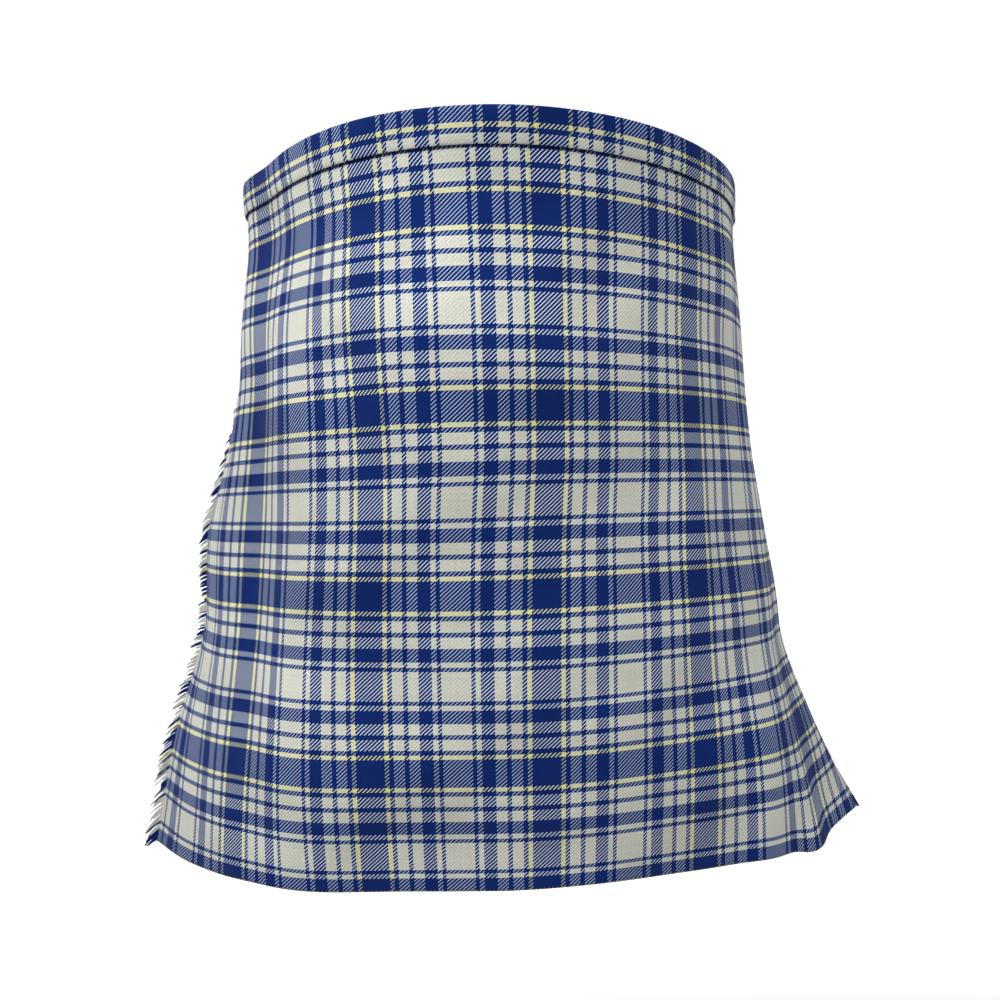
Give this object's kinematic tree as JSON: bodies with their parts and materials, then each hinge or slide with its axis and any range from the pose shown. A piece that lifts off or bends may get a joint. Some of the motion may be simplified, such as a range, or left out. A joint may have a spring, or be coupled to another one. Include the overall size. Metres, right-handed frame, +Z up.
{
  "type": "scottish kilt",
  "caption": "Wrapped tartan kilt: flat over apron with one fringed edge, under apron, knife-pleated back, folded waistband, and a leather strap and buckle at each hip.",
  "frame": {"origin": "middle of the waist opening at the top edge of the waistband", "axes": "+Z up out of the waist opening, wearer faces -Y, wearer's left is +X"},
  "size_m": [0.6851, 0.4767, 0.6503],
  "materials": {
    "tartan": "twill-woven worsted wool, blue and off-white tartan with a thin yellow line",
    "fringe": "frayed yarns of the same cloth",
    "leather": "smooth black strap leather, edge-stitched",
    "buckle": "polished nickel plate"
  },
  "bodies": {
    "root": {"over_apron": "tartan", "under_apron": "tartan", "pleats": "tartan", "waistband_front": "tartan", "waistband_back": "tartan", "waistband_under": "tartan", "fringe": "fringe", "strap_left": "leather", "strap_right": "leather", "chape_left": "leather", "chape_right": "leather", "buckle_left": "buckle", "buckle_right": "buckle", "prong_left": "buckle", "prong_right": "buckle"}
  },
  "joints": []
}
